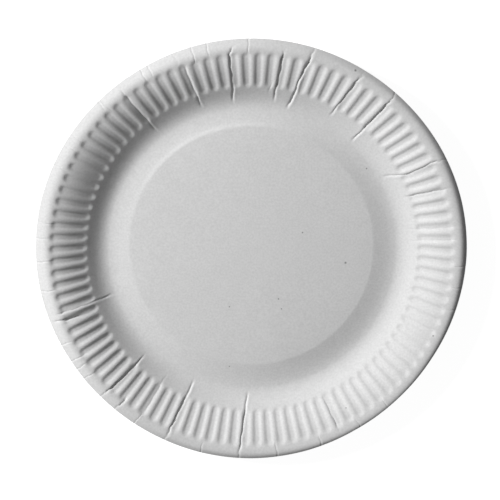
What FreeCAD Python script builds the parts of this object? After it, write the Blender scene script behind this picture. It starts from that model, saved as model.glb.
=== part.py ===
import FreeCAD, Part
import os
from math import atan2, cos, pi, radians, sin, tan

# A pressed paperboard plate: one sheet of board, drawn in a die to a raised disc,
# a foot ring, a heel, a wall with a ring of radial flutes, and a rolled-down lip.
# The origin is on the axis, on the surface that the plate stands on, with +Z up.

# Driving sizes, in millimetres and degrees
plate_diameter = 230.0
plate_height = 15.5
board_thickness = 0.5

# Lip: the crest is the highest line of the plate. The lip falls from it, and is rolled
# down more steeply along the cut edge.
lip_width = 5.4
lip_fall = 21.0
crest_bend_radius = 5.0
edge_fall = 36.0
edge_roll_radius = 5.0

# Wall: a straight slope between the crest bend and the heel bend
wall_slope = 29.0
heel_bend_radius = 12.0

# Bottom: the flat ring that the plate stands on, and the step up to the disc inside it
foot_width = 1.5
disc_step_width = 10.6
disc_rise = 1.3

# Flutes: grooves pressed down into the wall, with level ridges left between them
flute_count = 100
flute_depth = 0.75
flute_length = 20.4
flute_top_gap = 0.5
ridge_width = 1.5
flute_side_run = 1.3
flute_end_run = 1.6

# How far a tool that cuts or joins reaches past the skin it crosses
reach = 0.2

axis_point = FreeCAD.Vector(0, 0, 0)
axis_up = FreeCAD.Vector(0, 0, 1)


def sine(angle):
    return sin(radians(angle))


def cosine(angle):
    return cos(radians(angle))


# Section of the upper skin, from the crest inwards. The wall is the common tangent of
# the crest bend, which is round upwards, and the heel bend, which is hollow.
edge_radius = plate_diameter / 2.0
crest_radius = edge_radius - lip_width
crest_centre_height = plate_height - crest_bend_radius
lip_end_radius = edge_radius - edge_roll_radius * (sine(edge_fall) - sine(lip_fall))
heel_centre_height = board_thickness + heel_bend_radius
bends_apart = cosine(wall_slope) * (crest_centre_height - heel_centre_height)
wall_run = (bends_apart + crest_bend_radius + heel_bend_radius) / sine(wall_slope)
heel_radius = crest_radius - wall_run
foot_radius = heel_radius - foot_width
disc_radius = foot_radius - disc_step_width


def section_point(centre_radius, centre_height, bend_radius, slope):
    """Point of a bend where the skin has this slope. A hollow bend has a negative radius."""
    across = centre_radius - bend_radius * sine(slope)
    return FreeCAD.Vector(across, 0, centre_height + bend_radius * cosine(slope))


def bend(centre_radius, centre_height, bend_radius, slope_in, slope_out):
    """First, middle and last point of a bend in the section."""
    slopes = slope_in, (slope_in + slope_out) / 2.0, slope_out
    return [section_point(centre_radius, centre_height, bend_radius, slope) for slope in slopes]


def skin_edges(depth):
    """Section of the skin at a depth in the board, from the axis to the cut edge."""
    disc_height = board_thickness + disc_rise - depth
    foot_height = board_thickness - depth
    heel = bend(heel_radius, heel_centre_height, -heel_bend_radius - depth, 0.0, wall_slope)
    crest = bend(crest_radius, crest_centre_height, crest_bend_radius - depth, wall_slope, -lip_fall)
    lip_run = lip_end_radius - crest_radius - crest_bend_radius * sine(lip_fall)
    lip_end = crest[2] + FreeCAD.Vector(lip_run, 0, -lip_run * tan(radians(lip_fall)))
    roll_radius = edge_roll_radius - depth
    roll_centre = lip_end - section_point(0.0, 0.0, roll_radius, -lip_fall)
    roll = bend(roll_centre.x, roll_centre.z, roll_radius, -lip_fall, -edge_fall)
    corners = [
        FreeCAD.Vector(0, 0, disc_height),
        FreeCAD.Vector(disc_radius, 0, disc_height),
        FreeCAD.Vector(foot_radius, 0, foot_height),
        heel[0],
    ]
    edges = [Part.LineSegment(near, far).toShape() for near, far in zip(corners, corners[1:])]
    edges.append(Part.Arc(*heel).toShape())
    edges.append(Part.LineSegment(heel[2], crest[0]).toShape())
    edges.append(Part.Arc(*crest).toShape())
    edges.append(Part.LineSegment(crest[2], lip_end).toShape())
    edges.append(Part.Arc(*roll).toShape())
    return edges, corners[0], roll[2]


# The plain board: the section between its two skins, turned round the axis
upper_edges, upper_middle, upper_end = skin_edges(0.0)
lower_edges, lower_middle, lower_end = skin_edges(board_thickness)
closing_edges = [
    Part.LineSegment(upper_middle, lower_middle).toShape(),
    Part.LineSegment(upper_end, lower_end).toShape(),
]
section = Part.Face(Part.Wire(Part.__sortEdges__(upper_edges + lower_edges + closing_edges)))
board = section.revolve(axis_point, axis_up, 360.0)

# The wall line that the flutes are pressed along, and the flutes' ends on it
wall_top = section_point(crest_radius, crest_centre_height, crest_bend_radius, wall_slope)
wall_way = FreeCAD.Vector(cosine(wall_slope), 0, sine(wall_slope))
wall_out = FreeCAD.Vector(-sine(wall_slope), 0, cosine(wall_slope))
flute_top = wall_top - wall_way * flute_top_gap
flute_bottom = flute_top - wall_way * flute_length

# Each groove has a rib under it, larger all round by this much, so that the board keeps
# its thickness round the flute.
side_slope = atan2(flute_depth, flute_side_run)
rib_growth = board_thickness * tan(side_slope / 2.0)


def flute_outline(depth, level, growth):
    """Corners of a flute at a level over the wall. Its sides and ends lean outwards as they
    rise, and its sides meet the wall along straight lines of the cone, so that the ridges
    between flutes narrow towards the axis."""
    side_angle = pi / flute_count - (ridge_width / 2.0 - growth) / flute_top.x
    end_lean = flute_end_run * level / flute_depth + growth
    corners = []
    for end, way in ((flute_bottom, -1), (flute_top, 1)):
        middle = end + wall_way * (way * end_lean) + wall_out * (level - depth)
        cone_level = middle.x * (1.0 / cos(side_angle) - 1.0) * sine(wall_slope)
        side_lean = flute_side_run * (level - cone_level) / flute_depth
        side = FreeCAD.Vector(0, way * (middle.x * tan(side_angle) + side_lean), 0)
        corners += [middle + side, middle - side]
    return corners


def flute_block(depth, top_level, growth):
    """Solid of one flute from its floor up to a level, with the wall at a depth in the board."""
    floor = flute_outline(depth, -flute_depth, growth)
    mouth = flute_outline(depth, top_level, growth)
    outlines = [floor, mouth]
    for corner in range(4):
        after = (corner + 1) % 4
        outlines.append([floor[corner], floor[after], mouth[after], mouth[corner]])
    faces = [Part.Face(Part.makePolygon(outline + outline[:1])) for outline in outlines]
    return Part.makeSolid(Part.makeShell(faces))


def ring_of(block):
    """Copies of a block, one for each flute, half a pitch from the section's seam."""
    copies = []
    for flute in range(flute_count):
        copy = block.copy()
        copy.rotate(axis_point, axis_up, 360.0 * (flute + 0.5) / flute_count)
        copies.append(copy)
    return copies


# The ribs are joined first, and the grooves are then cut down into them
rib = flute_block(board_thickness, board_thickness / 2.0, rib_growth)
groove = flute_block(0.0, reach, 0.0)
plate = board.fuse(ring_of(rib)).cut(ring_of(groove))

print("heel from %.2f, wall %.2f to %.2f, disc %.2f" % (
    heel_radius, heel_radius + heel_bend_radius * sine(wall_slope), wall_top.x, disc_radius))
print("flutes from %.2f to %.2f" % (flute_bottom.x, flute_top.x))
print("%d solid, valid %s, %d faces, volume %.0f mm3" % (
    len(plate.Solids), plate.isValid(), len(plate.Faces), plate.Volume))

os.makedirs("parts", exist_ok=True)
plate.exportStep("parts/plate.step")
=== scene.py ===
# %% [markdown]
# # A pressed paper plate
#
# A paper plate starts as a flat sheet of white board. A heated die presses it into shape in one
# stroke: a flat middle, a foot ring to stand on, a sloping wall with a ring of short flutes, and
# a lip that is rolled down. The sheet has too much board round its rim for the smaller circle it
# is pressed into, so the flutes take it up, and where they can't, it folds into sharp creases.
# This lesson follows the same order: a smooth dish first, then the ways in which this one is
# uneven, then flutes, creases and the thickness of the board, and then paper, light and camera.

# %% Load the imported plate
from math import cos, radians, sin

import bpy
import numpy as np
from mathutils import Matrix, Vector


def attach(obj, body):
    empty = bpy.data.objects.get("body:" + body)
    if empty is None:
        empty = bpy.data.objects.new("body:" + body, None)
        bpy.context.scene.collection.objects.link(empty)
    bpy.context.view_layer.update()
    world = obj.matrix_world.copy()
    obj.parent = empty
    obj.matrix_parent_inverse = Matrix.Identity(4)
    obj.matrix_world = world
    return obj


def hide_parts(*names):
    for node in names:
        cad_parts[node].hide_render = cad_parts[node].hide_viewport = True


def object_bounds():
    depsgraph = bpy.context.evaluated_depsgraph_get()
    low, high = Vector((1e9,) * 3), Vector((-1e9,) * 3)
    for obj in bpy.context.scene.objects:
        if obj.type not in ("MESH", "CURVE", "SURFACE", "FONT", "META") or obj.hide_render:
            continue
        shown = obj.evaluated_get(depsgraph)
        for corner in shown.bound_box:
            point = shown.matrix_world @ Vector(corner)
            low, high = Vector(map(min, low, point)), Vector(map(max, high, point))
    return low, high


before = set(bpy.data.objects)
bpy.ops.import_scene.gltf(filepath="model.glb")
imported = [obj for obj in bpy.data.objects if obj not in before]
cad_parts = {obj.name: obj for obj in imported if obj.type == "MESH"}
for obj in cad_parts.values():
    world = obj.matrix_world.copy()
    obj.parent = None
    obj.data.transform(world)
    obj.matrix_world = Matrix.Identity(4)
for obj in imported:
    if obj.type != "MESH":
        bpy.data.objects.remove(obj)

MM = 0.001
packed_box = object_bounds()
packed_size = [round((high - low) / MM, 1) for low, high in zip(*packed_box)]
print("packed plate, mm:", packed_size)

# %% [markdown]
# The loader leaves the imported plate selected. Operators act on everything that is selected, so
# the first habit of the lesson is to clear the selection before anything new is made.

# %% Clear the selection
bpy.ops.object.select_all(action="DESELECT")
print("selected objects:", len(bpy.context.selected_objects))

# %% [markdown]
# ## The section
#
# The whole dish is one curve turned round an axis. It could be drawn as a list of heights, but a
# plate is easier to read as slopes: level as far as the foot, then a hollow heel, a wall that
# steepens and eases off again, a round crest, and a lip that falls away. So the slope is given at
# a few radii up to the crest, and adding the slopes up gives the height.
#
# Board springs back a little when it leaves the die, and not equally all round. This rim reaches
# two millimetres further on the left than at the lower right. On the right its crest lies close
# to the cut edge and the lip turns down sharply, and on the left it falls away gently. So a row
# for every fifteen degrees tells how far the rim reaches, where its crest is, its last fall, and
# how much steeper than usual the heel turns up into the wall.

# %% Slopes of the upper skin, from the foot to the cut edge
board = 0.5
plate_radius = 115.0
foot_radius = 76.9
section_crest = 109.5
kept_clear = 0.1
plate_height = packed_size[2] - kept_clear

slope_at = (
    (0.0, 0.0), (76.9, 0.0), (79.3, 12.0), (81.1, 19.5), (83.4, 27.0), (85.7, 32.5), (88.2, 35.0),
    (91.8, 32.0), (97.7, 28.0), (101.7, 22.0), (105.7, 15.5), (107.8, 12.0), (109.5, 0.0),
)

rim_rows = (
    # angle, reach, crest, fall, wall
    (0.0, 114.1, 110.4, 40.0, 1.0), (15.0, 114.3, 110.7, 41.0, 1.0),
    (30.0, 114.2, 110.8, 42.0, 1.0), (45.0, 114.0, 110.9, 43.0, 1.0),
    (60.0, 114.0, 110.3, 38.0, 1.04), (75.0, 114.3, 109.8, 32.0, 1.07),
    (90.0, 114.4, 109.4, 28.0, 1.07), (105.0, 114.4, 108.9, 25.0, 1.05),
    (120.0, 114.2, 108.8, 22.0, 1.02), (135.0, 114.4, 109.3, 16.0, 1.0),
    (150.0, 114.7, 109.4, 15.0, 1.02), (165.0, 114.9, 109.4, 15.0, 1.04),
    (180.0, 114.9, 108.6, 19.0, 1.08), (195.0, 114.9, 108.3, 26.0, 1.11),
    (210.0, 114.4, 108.6, 30.0, 1.13), (225.0, 114.2, 109.2, 30.0, 1.13),
    (240.0, 114.3, 110.2, 33.0, 1.07), (255.0, 114.6, 111.2, 38.0, 1.02),
    (270.0, 114.6, 111.4, 41.0, 1.0), (285.0, 113.9, 111.3, 42.0, 1.0),
    (300.0, 112.9, 110.9, 43.0, 1.0), (315.0, 112.5, 110.7, 43.0, 1.0),
    (330.0, 112.6, 110.3, 42.0, 1.0), (345.0, 113.3, 110.4, 41.0, 1.0),
)
stations = np.linspace(0.0, plate_radius, 2301)
shift_start = 99.0
shift_end_before_crest = 2.0
lower_wall_radius = 85.5
lower_wall_spread = 5.0
lip_bend_length = 1.5
lip_bend_sharpness = 1.3


def section(crest, fall, wall):
    """Height over the foot at every station, for a rim with this crest radius and last fall,
    and a lower wall that is steeper by this factor."""
    shift_run = crest - shift_end_before_crest - shift_start
    shift = (crest - section_crest) * np.clip((stations - shift_start) / shift_run, 0.0, 1.0)
    inside = np.interp(np.minimum(stations - shift, section_crest), *zip(*slope_at))
    lower_wall = np.exp(-((stations - lower_wall_radius) / lower_wall_spread) ** 2)
    inside = inside * (1.0 + (wall - 1.0) * lower_wall)
    past_crest = np.maximum(stations - crest, 0.0) / lip_bend_length
    outside = fall * (1.0 - np.exp(-past_crest ** lip_bend_sharpness))
    slopes = np.tan(np.radians(inside - outside))
    rises = (slopes[1:] + slopes[:-1]) / 2.0 * np.diff(stations)
    heights = np.concatenate([[0.0], np.cumsum(rises)])
    return heights - np.interp(foot_radius, stations, heights)


highest = max(section(crest, fall, wall).max() for angle, reach, crest, fall, wall in rim_rows)
stretch = (plate_height - board) / highest
print("rim rows:", len(rim_rows), "and heights stretched by %.3f" % stretch)

# %% [markdown]
# ## The step round the disc
#
# The disc in the middle stands a little higher than the foot, with a shallow step round it. On
# this plate it lies two millimetres off the middle, so the step is short on one side and long on
# the other. Where it is short it begins with a narrow steep band, which catches the light as a
# bright arc. Where it is long it falls more, and the edge of the disc sags a little before it. So
# the step has a small table of its own, with its slope for every thirty degrees.

# %% Slope of the step, and the dish's height at a radius
disc_radius = 65.3
disc_shift = 2.0
disc_shift_angle = 100.0
step_end = 77.2
step_start_bend = 0.8
step_end_bend = 4.2
band_slope = 12.0
band_middle = 1.7
band_half_width = 1.2
sag_slope = 1.3
sag_angle = 290.0
sag_start = 52.0
sag_bend = 10.0
mean_fall = 33.0
step_rows = (
    # angle, slope
    (15.0, 8.9), (45.0, 8.9), (75.0, 8.0), (105.0, 6.5), (135.0, 4.8), (165.0, 6.0),
    (195.0, 7.6), (225.0, 7.8), (255.0, 9.0), (285.0, 11.0), (315.0, 10.0), (345.0, 8.6),
)


def step(turn):
    """Height over the foot at every station, from the disc down to the foot, at an angle."""
    shortness = cos(radians(turn - disc_shift_angle))
    start = disc_radius + disc_shift * shortness
    past_start = np.clip((stations - start) / step_start_bend, 0.0, 1.0)
    before_end = np.clip((step_end - stations) / step_end_bend, 0.0, 1.0)
    slope = float(np.interp(turn, *zip(*step_rows), period=360.0))
    steeper = band_slope * max(0.0, shortness) ** 3
    band = np.exp(-((stations - start - band_middle) / band_half_width) ** 4)
    sag = sag_slope * (1.0 + cos(radians(turn - sag_angle)))
    near_edge = np.clip((stations - sag_start) / sag_bend, 0.0, 1.0) * (stations < start)
    falls = slope * past_start * before_end + steeper * band + sag * near_edge
    return np.cumsum(np.tan(np.radians(falls))[::-1])[::-1] * (stations[1] - stations[0])


mean_section = stretch * section(section_crest, mean_fall, 1.0) + step(0.0)


def height_at(radius):
    """Height of the evenly round dish over the table, in mm."""
    return board + float(np.interp(radius, stations, mean_section))


rises = [step(turn)[0] for turn in range(0, 360, 10)]
print("disc %.1f to %.1f mm over the foot" % (min(rises), max(rises)))

# %% [markdown]
# ## The smooth dish
#
# A dish like this could be a spun profile. Here it grows from its middle instead, the way a
# modeller would pull it out by hand: a circle is filled for the disc, and its rim is extruded,
# scaled up and lifted, ring after ring, along the section. The rings lie close together where
# the section bends and where flutes and creases will end, and far apart where it is straight.
# Twelve columns for each of the hundred flutes are enough to draw a round groove.

# %% Pull the dish out of a circle
flute_count = 100
columns_each = 12
columns = columns_each * flute_count
ring_radii = (
    53.0, 65.2, 65.9, 66.6, 67.4, 68.4, 70.2, 73.8, 77.4, 78.8, 80.2, 81.6, 83.0, 84.4, 85.8,
    87.1, 88.2, 89.2, 90.2, 91.3, 92.8, 94.6, 96.5, 98.5, 100.5, 102.2, 103.5, 104.5, 105.4,
    106.2, 107.0, 107.9, 108.8, 109.7, 110.5, 111.3, 112.1, 112.9, 113.6, 114.3, 115.0,
)

bpy.ops.mesh.primitive_circle_add(
    vertices=columns, radius=ring_radii[0] * MM, fill_type="TRIFAN",
    location=(0.0, 0.0, height_at(ring_radii[0]) * MM))
plate = bpy.context.object
plate.name = "pressed_board"
bpy.ops.object.transform_apply(location=True, rotation=True, scale=True)

bpy.ops.object.mode_set(mode="EDIT")
bpy.ops.mesh.select_mode(type="EDGE")
bpy.ops.mesh.select_all(action="DESELECT")
bpy.ops.mesh.select_non_manifold(
    extend=False, use_wire=False, use_boundary=True, use_multi_face=False,
    use_non_contiguous=False, use_verts=False)
for inner, outer in zip(ring_radii, ring_radii[1:]):
    lift = (height_at(outer) - height_at(inner)) * MM
    bpy.ops.mesh.extrude_region_move(TRANSFORM_OT_translate={"value": (0.0, 0.0, lift)})
    growth = outer / inner
    bpy.ops.transform.resize(value=(growth, growth, 1.0), center_override=(0.0, 0.0, 0.0))
bpy.ops.mesh.select_all(action="SELECT")
bpy.ops.mesh.normals_make_consistent(inside=False)
bpy.ops.object.mode_set(mode="OBJECT")
print("dish:", len(plate.data.vertices), "points,", len(plate.data.polygons), "faces")

# %% [markdown]
# ## The uneven dish
#
# Now every column of points gets the step and the rim of its own angle. Two neighbouring rows are
# mixed for the columns between them. The points slide in and out only near the disc, to stay along
# its edge, and near the cut edge, to follow the outline. The one point on the axis stays.

# %% Shape the dish, column by column
on_axis = 1.0
reach_start = 107.0
slide_end = 77.4
slide_fade = 8.0

flat = np.empty(len(plate.data.vertices) * 3)
plate.data.vertices.foreach_get("co", flat)
points = flat.reshape(-1, 3) / MM
radius = np.hypot(points[:, 0], points[:, 1])
angle = np.degrees(np.arctan2(points[:, 1], points[:, 0])) % 360.0
column_of = np.round(angle * columns / 360.0).astype(int) % columns

row_angles, *rim_columns = zip(*rim_rows)
for column in range(columns):
    mine = np.nonzero((column_of == column) & (radius > on_axis))[0]
    turn = column * 360.0 / columns
    reach, crest, fall, wall = (
        float(np.interp(turn, row_angles, values, period=360.0)) for values in rim_columns)
    outwards = np.clip((radius[mine] - reach_start) / (plate_radius - reach_start), 0.0, 1.0)
    inwards = np.clip((slide_end - radius[mine]) / slide_fade, 0.0, 1.0)
    slide = disc_shift * cos(radians(turn - disc_shift_angle)) * inwards
    growth = 1.0 + (reach / plate_radius - 1.0) * outwards + slide / radius[mine]
    points[mine, :2] *= growth[:, None]
    radius[mine] = np.hypot(points[mine, 0], points[mine, 1])
    heights = stretch * section(crest, fall, wall) + step(turn)
    points[mine, 2] = board + np.interp(radius[mine], stations, heights)
print("highest point, mm: %.2f" % points[:, 2].max())

# %% [markdown]
# ## Where the board folds
#
# Here and there the board has folded over on itself: a sharp slit starts at the cut edge, follows
# a groove down the wall, and runs out in the heel. Each is noted as a few places along it, each
# a radius and an angle, with how deep it is and how far it slopes to its left and right. Shorter
# nicks cross only the lip, where the board was gathered at the die's edge.
#
# A fold is half a millimetre wide, and so is the space between two columns. So the columns near a
# fold are drawn together first. A sharp detail needs its points close to it, and it is cheaper
# to move the points there than to add more everywhere.

# %% List the folds and draw the columns together round them
creases = (
    (((115.5, 26.2), (113.5, 27.3), (108.3, 28.2), (91.4, 27.6), (82.6, 30.2)), 0.45, 0.45, 0.4),
    (((115.5, 49.9), (113.5, 49.3), (98.0, 48.9), (81.4, 48.5)), 0.50, 0.5, 0.4),
    (((111.6, 59.5), (85.6, 60.8)), 0.45, 0.6, 0.4),
    (((114.1, 73.5), (107.7, 74.0), (96.1, 75.2), (85.0, 75.4), (81.1, 76.6)), 0.80, 1.1, 0.3),
    (((107.9, 81.4), (83.4, 82.0)), 0.45, 0.6, 0.4),
    (((92.4, 82.9), (87.4, 84.6)), 0.25, 0.4, 0.4),
    (((110.6, 94.3), (108.6, 96.2), (87.0, 96.4), (82.5, 97.1)), 0.50, 0.8, 0.4),
    (((105.3, 109.0), (83.6, 108.6)), 0.40, 0.9, 0.3),
    (((114.4, 111.2), (109.4, 110.4)), 0.30, 0.4, 0.4),
    (((110.3, 127.3), (83.9, 127.5)), 0.40, 0.9, 0.3),
    (((108.9, 196.9), (81.1, 197.7)), 0.35, 0.6, 0.35),
    (((112.4, 198.7), (98.8, 199.9)), 0.70, 0.6, 0.4),
    (((114.7, 223.4), (84.8, 224.8)), 0.50, 0.45, 0.5),
    (((115.1, 228.7), (105.3, 229.3)), 0.55, 0.5, 0.5),
    (((115.4, 245.1), (97.8, 245.5), (82.1, 246.5)), 0.60, 0.35, 1.1),
    (((115.8, 266.2), (98.0, 267.0), (82.3, 268.2)), 0.60, 0.4, 0.6),
    (((110.2, 4.8), (85.1, 4.2)), 0.12, 0.4, 0.4),
    (((110.3, 8.7), (85.1, 8.3)), 0.12, 0.4, 0.4),
    (((107.9, 19.7), (87.6, 20.4)), 0.30, 0.4, 0.4),
    (((108.5, 296.1), (90.2, 295.7)), 0.28, 0.4, 0.4),
    (((114.1, 236.2), (85.2, 235.9)), 0.11, 0.4, 0.4),
)
nick_angles = (
    91.0, 101.7, 105.9, 118.2, 120.2, 133.2, 134.2, 145.3, 148.3, 154.5, 170.7, 175.0, 181.4,
    189.9, 205.8, 210.9, 213.4, 217.0, 235.7, 255.5, 277.0, 289.9, 301.9, 311.4, 344.6, 351.1,
    357.1,
)
nick_start = 107.0
nick_start_spread = 1.5
nick_end = 118.0
nick_lean = 0.3
nicks = [
    ((nick_start + nick_start_spread * sin(n * 2.4), middle), (nick_end, middle + nick_lean * sin(n * 1.7)))
    for n, middle in enumerate(nick_angles)
]
fold_fade = 3.0
rounding = (-2.0, -1.0, 0.0, 1.0, 2.0)
wanders = (
    # degrees, and radians for each mm along the fold
    (0.12, 0.8), (0.06, 2.1),
)


def across(middle):
    """Distance of every point from an angle, in mm along its own circle, anticlockwise positive."""
    return np.radians((angle - middle + 180.0) % 360.0 - 180.0) * radius


def off_fold(places):
    """Distance of every point across a fold, in mm, and how fully it takes part along it.
    The fold's line is rounded at its places, and wanders a little as torn paper does."""
    radii, angles = zip(*sorted(places))
    line = sum(np.interp(radius + nudge, radii, angles) for nudge in rounding) / len(rounding)
    for size, rate in wanders:
        line += size * np.sin(rate * radius + angles[0])
    inside_ends = np.minimum(radius - radii[0], radii[-1] - radius)
    return across(line), np.clip(inside_ends / fold_fade + 0.5, 0.0, 1.0)


gather_width = 3.6
gather_pull = 0.7
for places in [crease[0] for crease in creases] + nicks:
    off, share = off_fold(places)
    pull = gather_pull * share * np.clip(1.0 - (off / gather_width) ** 2, 0.0, 1.0) ** 2
    angle = (angle - np.degrees(pull * off / np.maximum(radius, on_axis))) % 360.0
points[:, 0] = radius * np.cos(np.radians(angle))
points[:, 1] = radius * np.sin(np.radians(angle))
plate.data.vertices.foreach_set("co", (points * MM).ravel())
plate.data.update()
print("folds:", len(creases), "and nicks:", len(nicks))

# %% [markdown]
# ## Pressing
#
# The die presses grooves down into the smooth wall. In Blender a vertex group can say how far
# each point takes part, from 0 to 1, and a Displace modifier moves the points by that share of
# its strength. The same helper presses flutes and creases, with a weight for each point that a
# short formula gives from the point's radius and angle.

# %% A helper that presses points down
least_weight = 0.002


def press(piece, name, depth, weights):
    """Moves the piece's points down by depth, in mm, times their weight. A negative depth lifts them."""
    group = piece.vertex_groups.new(name=name)
    for point in np.nonzero(weights > least_weight)[0]:
        group.add([int(point)], float(weights[point]), "REPLACE")
    stamp = piece.modifiers.new(name, "DISPLACE")
    stamp.direction = "Z"
    stamp.mid_level = 0.0
    stamp.strength = -depth * MM
    stamp.vertex_group = name
    bpy.ops.object.modifier_apply(modifier=name)


print("points that can be pressed:", len(points))

# %% [markdown]
# ## The flutes
#
# A flute is a shallow groove that runs straight out from the middle of the plate. It has a level
# floor and soft sides, and the ridge left between two grooves is narrower than the floor. So the
# side is a smoothstep that begins about a fifth of the way from the groove's middle to the
# ridge's, and ends just before the ridge's. Past the ends of the groove the distance is taken to
# its end point, which rounds the groove off like the tip of a spoon. The die bites a little deeper
# on two opposite sides.

# %% Press the flutes
pitch = 360.0 / flute_count
first_groove = 1.6
groove_inner_end = 91.2
groove_outer_end = 105.0
groove_depth = 0.82
floor_share = 0.22
side_share = 0.68
mean_bite = 0.87
uneven_bite = 0.13
deepest_angle = 20.0

nearest_groove = first_groove + pitch * np.round((angle - first_groove) / pitch)
beyond_end = np.maximum(0.0, np.maximum(radius - groove_outer_end, groove_inner_end - radius))
half_pitch = radians(pitch / 2.0) * np.maximum(radius, on_axis)
from_middle = np.hypot(across(nearest_groove), beyond_end) / half_pitch
climb = np.clip((from_middle - floor_share) / side_share, 0.0, 1.0)
climb = climb ** 2 * (3.0 - 2.0 * climb)
bite = mean_bite + uneven_bite * np.cos(np.radians(2.0 * (angle - deepest_angle)))
press(plate, "flutes", groove_depth, bite * (1.0 - climb))
print("flutes:", flute_count, "each", round(groove_outer_end - groove_inner_end, 1), "mm long and more")

# %% [markdown]
# ## The creases and nicks
#
# A fold is a V pressed down along its line, with a low shoulder on both sides where the board
# bulges. It is shallower on the lip. Where a fold reaches the crest the board is crumpled, and a
# wave that wanders draws the crumples. The nicks are pressed the same way, but shallower and
# narrower.

# %% Press the creases
lip_start = 107.0
lip_fade = 3.0
lost_on_lip = 0.7
crease_sharpness = 1.5
shoulder_share = 0.25
shoulder_place = 1.1
shoulder_width = 0.4
crumple_depth = 0.35
crumple_radius = 109.0
crumple_length = 2.2
crumple_width = 1.0
wave_rate = 4.5
wave_wander = 2.2
wander_rate = 1.7
wave_start = 40.0

crease_depth = np.zeros(len(points))
crease_lift = np.zeros(len(points))
crumple = np.zeros(len(points))
for places, depth, left_run, right_run in creases:
    off, share = off_fold(places)
    share = share * (1.0 - lost_on_lip * np.clip((radius - lip_start) / lip_fade, 0.0, 1.0))
    run = np.where(off > 0.0, left_run, right_run)
    slit = np.exp(-np.abs(off / run) ** crease_sharpness)
    shoulder = np.exp(-((np.abs(off) - shoulder_place) / shoulder_width) ** 2)
    crease_depth = np.maximum(crease_depth, depth * share * slit)
    crease_lift = np.maximum(crease_lift, shoulder_share * depth * share * shoulder)
    if max(places)[0] > lip_start:
        along = np.abs(radius - crumple_radius) / crumple_length
        patch = np.exp(-along ** 3 - (off / crumple_width) ** 2) * min(1.0, 2.0 * depth)
        phase = wave_rate * off + wave_wander * np.sin(wander_rate * radius) + wave_start * depth
        wave = 0.5 + 0.5 * np.sin(phase)
        crumple = np.maximum(crumple, patch * wave ** 2)
press(plate, "creases", 1.0, crease_depth)
press(plate, "crease_shoulders", -1.0, crease_lift)
press(plate, "crumples", crumple_depth, crumple)
print("deepest crease, mm:", round(float(crease_depth.max()), 2))

# %% Press the nicks
nick_depth = 0.15
nick_width = 0.28
nick_shoulder_height = 0.04
nick_shoulder_place = 0.7
nick_shoulder_width = 0.3

slits = np.zeros(len(points))
shoulders = np.zeros(len(points))
for places in nicks:
    off, share = off_fold(places)
    slits = np.maximum(slits, share * np.exp(-(off / nick_width) ** 2))
    beside = (np.abs(off) - nick_shoulder_place) / nick_shoulder_width
    shoulders = np.maximum(shoulders, share * np.exp(-beside ** 2))
press(plate, "nicks", nick_depth, slits)
press(plate, "nick_shoulders", -nick_shoulder_height, shoulders)
print("points in nicks:", int((slits > 0.5).sum()))

# %% [markdown]
# ## The thickness of the board
#
# So far the plate is a skin with no thickness. Solidify gives it the other side of the sheet, so
# that the grooves above are ridges below, as in pressed board. It thickens downwards, because
# the section is that of the upper side.

# %% Give the board its thickness
thick = plate.modifiers.new("board", "SOLIDIFY")
thick.thickness = board * MM
thick.offset = -1.0
thick.use_even_offset = True
bpy.ops.object.modifier_apply(modifier="board")
bpy.ops.object.shade_smooth_by_angle(angle=radians(50.0))
print("board:", sum(len(face.vertices) - 2 for face in plate.data.polygons), "triangles")

# %% [markdown]
# ## The paper
#
# Uncoated board is matt and nearly white, and never quite even. Its fibres lie in small clouds
# that are a little lighter and darker, a finer grain goes over them, and the surface itself is
# rough. Three noises on Object coordinates draw these, so that they stay where they are on the
# plate. Here and there a speck of darker fibre shows. A speck is the space near one point, so the
# nearest of ten points decides how dark the paper is, and a ray from above finds how high each lies.

# %% Paper material
paper = bpy.data.materials.new("white_board")
paper.use_nodes = True
nodes = paper.node_tree.nodes
links = paper.node_tree.links
shader = nodes["Principled BSDF"]
shader.inputs["Roughness"].default_value = 0.85
shader.inputs["Specular IOR Level"].default_value = 0.25
where = nodes.new("ShaderNodeTexCoord")


def noise(scale, detail):
    """A noise on the plate's own coordinates. Scale is in bumps for each metre."""
    node = nodes.new("ShaderNodeTexNoise")
    node.inputs["Scale"].default_value = scale
    node.inputs["Detail"].default_value = detail
    links.new(where.outputs["Object"], node.inputs["Vector"])
    return node.outputs["Fac"]


def ramp(value, *stops):
    """Colours a value by grey levels at places from 0 to 1."""
    node = nodes.new("ShaderNodeValToRGB")
    while len(node.color_ramp.elements) < len(stops):
        node.color_ramp.elements.new(0.5)
    for element, (place, grey) in zip(node.color_ramp.elements, stops):
        element.position = place
        element.color = (grey, grey, grey, 1.0)
    links.new(value, node.inputs["Fac"])
    return node.outputs["Color"]


def multiply(first, second):
    """Product of two colours."""
    node = nodes.new("ShaderNodeMix")
    node.data_type = "RGBA"
    node.blend_type = "MULTIPLY"
    node.inputs["Factor"].default_value = 1.0
    links.new(first, node.inputs[6])
    links.new(second, node.inputs[7])
    return node.outputs[2]


cloud_scale = 160.0
cloud_greys = ((0.3, 0.735), (0.7, 0.755))
grain_scale = 900.0
grain_greys = ((0.3, 0.885), (0.7, 1.0))
clouds = ramp(noise(cloud_scale, 4.0), *cloud_greys)
grain = ramp(noise(grain_scale, 3.0), *grain_greys)
print("nodes for clouds and grain:", len(nodes))

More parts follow.
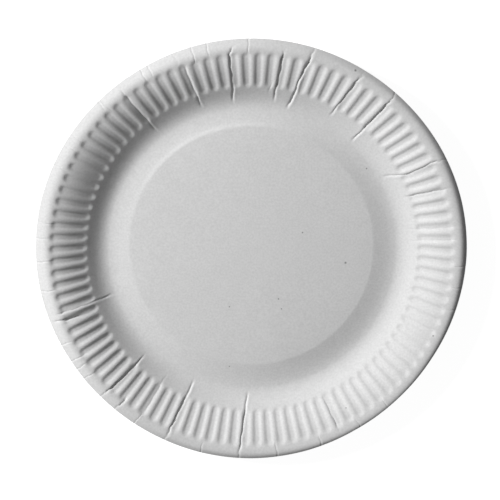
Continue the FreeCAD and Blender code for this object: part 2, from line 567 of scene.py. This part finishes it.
# %% Dark specks in the paper
above = 0.1
speck_greys = ((0.25, 0.35), (0.8, 1.0))
speck_places = (
    # x and y in mm, and size
    (50.6, -6.3, 1.0), (14.4, -26.5, 0.7), (-12.3, -31.0, 0.6), (16.1, -32.1, 0.6),
    (-12.5, -65.3, 0.6), (27.2, 10.4, 0.7), (61.1, 45.0, 0.7), (53.0, 98.3, 1.0),
    (51.6, -86.0, 0.6), (97.6, -43.9, 0.8),
)
bpy.context.view_layer.update()
nearest = None
for x, y, size in speck_places:
    place = plate.ray_cast((x * MM, y * MM, above), (0.0, 0.0, -1.0))[1]
    away = nodes.new("ShaderNodeVectorMath")
    away.operation = "DISTANCE"
    away.inputs[1].default_value = place
    links.new(where.outputs["Object"], away.inputs[0])
    share = nodes.new("ShaderNodeMath")
    share.operation = "DIVIDE"
    share.inputs[1].default_value = size * MM
    links.new(away.outputs["Value"], share.inputs[0])
    if nearest is None:
        nearest = share.outputs["Value"]
        continue
    smaller = nodes.new("ShaderNodeMath")
    smaller.operation = "MINIMUM"
    links.new(nearest, smaller.inputs[0])
    links.new(share.outputs["Value"], smaller.inputs[1])
    nearest = smaller.outputs["Value"]
specks = ramp(nearest, *speck_greys)
links.new(multiply(multiply(clouds, grain), specks), shader.inputs["Base Color"])
print("specks:", len(speck_places))

# %% Rough fibres, and the paper on the plate
fibre_scale = 1100.0
fibres = nodes.new("ShaderNodeBump")
fibres.inputs["Strength"].default_value = 0.25
fibres.inputs["Distance"].default_value = 0.0001
links.new(noise(fibre_scale, 4.0), fibres.inputs["Height"])
links.new(fibres.outputs["Normal"], shader.inputs["Normal"])
plate.data.materials.append(paper)
print("paper nodes:", len(nodes))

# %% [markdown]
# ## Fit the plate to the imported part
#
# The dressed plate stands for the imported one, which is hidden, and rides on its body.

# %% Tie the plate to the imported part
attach(plate, "root")
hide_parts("plate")
print("the plate rides on root")

# %% [markdown]
# ## Floor
#
# The plate lies on white. A floor that is only lit would have to be very bright to come out white,
# so this one is grey to the lamp and glows for the camera alone. It still shows the plate's soft
# shadow.

# %% Pale floor
bpy.ops.object.select_all(action="DESELECT")
floor_width = 6.0
floor_drop = 0.0001
bpy.ops.mesh.primitive_plane_add(size=floor_width, location=(0.0, 0.0, -floor_drop))
floor = bpy.context.object
floor.name = "floor"
white = bpy.data.materials.new("white_floor")
white.use_nodes = True
floor_nodes = white.node_tree.nodes
floor_links = white.node_tree.links
floor_shader = floor_nodes["Principled BSDF"]
floor_shader.inputs["Base Color"].default_value = (0.35, 0.35, 0.35, 1.0)
floor_shader.inputs["Roughness"].default_value = 1.0
floor_shader.inputs["Specular IOR Level"].default_value = 0.0
glow = floor_nodes.new("ShaderNodeEmission")
glow.inputs["Color"].default_value = (0.95, 0.95, 0.95, 1.0)
seen = floor_nodes.new("ShaderNodeLightPath")
both = floor_nodes.new("ShaderNodeAddShader")
floor_links.new(seen.outputs["Is Camera Ray"], glow.inputs["Strength"])
floor_links.new(floor_shader.outputs["BSDF"], both.inputs[0])
floor_links.new(glow.outputs["Emission"], both.inputs[1])
floor_links.new(both.outputs["Shader"], floor_nodes["Material Output"].inputs["Surface"])
floor.data.materials.append(white)
print("floor:", floor.dimensions[0], "m wide")

# %% [markdown]
# ## Light
#
# One soft lamp stands to the upper left, low enough that the wall nearest to it is in its own
# shade. An even grey sky fills the shadows. The camera sees a white sky instead.

# %% Lamp and sky
lamp_azimuth = radians(154.0)
lamp_elevation = radians(32.0)
lamp_distance = 1.3
lamp_width = 0.25
lamp_watts = 21.2
bpy.ops.object.light_add(type="AREA", location=(
    lamp_distance * cos(lamp_elevation) * cos(lamp_azimuth),
    lamp_distance * cos(lamp_elevation) * sin(lamp_azimuth),
    lamp_distance * sin(lamp_elevation)))
lamp = bpy.context.object
lamp.name = "key_lamp"
lamp.rotation_euler = lamp.location.to_track_quat("Z", "Y").to_euler()
lamp.data.shape = "DISK"
lamp.data.size = lamp_width
lamp.data.energy = lamp_watts

world = bpy.data.worlds.new("studio")
bpy.context.scene.world = world
world.use_nodes = True
sky_nodes = world.node_tree.nodes
sky_links = world.node_tree.links
sky = sky_nodes["Background"]
sky.inputs["Color"].default_value = (0.11, 0.11, 0.11, 1.0)
backdrop = sky_nodes.new("ShaderNodeBackground")
backdrop.inputs["Color"].default_value = (1.0, 1.0, 1.0, 1.0)
ray = sky_nodes.new("ShaderNodeLightPath")
either = sky_nodes.new("ShaderNodeMixShader")
sky_links.new(ray.outputs["Is Camera Ray"], either.inputs["Fac"])
sky_links.new(sky.outputs["Background"], either.inputs[1])
sky_links.new(backdrop.outputs["Background"], either.inputs[2])
sky_links.new(either.outputs["Shader"], sky_nodes["World Output"].inputs["Surface"])
print("lamp at, m:", [round(x, 2) for x in lamp.location])

# %% [markdown]
# ## Camera
#
# The photograph looks almost straight down: the plate is tilted by about thirteen degrees, which
# shows in the outline, a little wider than it is high. The lens is long, so the rings hardly
# shift against each other. A shift of a few pixels puts the plate where it lies in the picture.

# %% Camera
tilt = radians(13.2)
camera_distance = 0.68
pixels = 500.0
pixels_per_mm = 1.845
shift_right = 2.03
shift_down = 0.48
bpy.ops.object.camera_add(
    location=(0.0, camera_distance * sin(tilt), camera_distance * cos(tilt)),
    rotation=(-tilt, 0.0, 0.0))
camera = bpy.context.object
camera.name = "camera"
camera.data.sensor_width = 36.0
camera.data.lens = pixels_per_mm / MM * camera_distance / pixels * camera.data.sensor_width
camera.data.shift_x = -shift_right / pixels
camera.data.shift_y = shift_down / pixels
bpy.context.scene.camera = camera
bpy.context.scene.view_settings.view_transform = "Standard"
print("lens, mm:", round(camera.data.lens, 1))
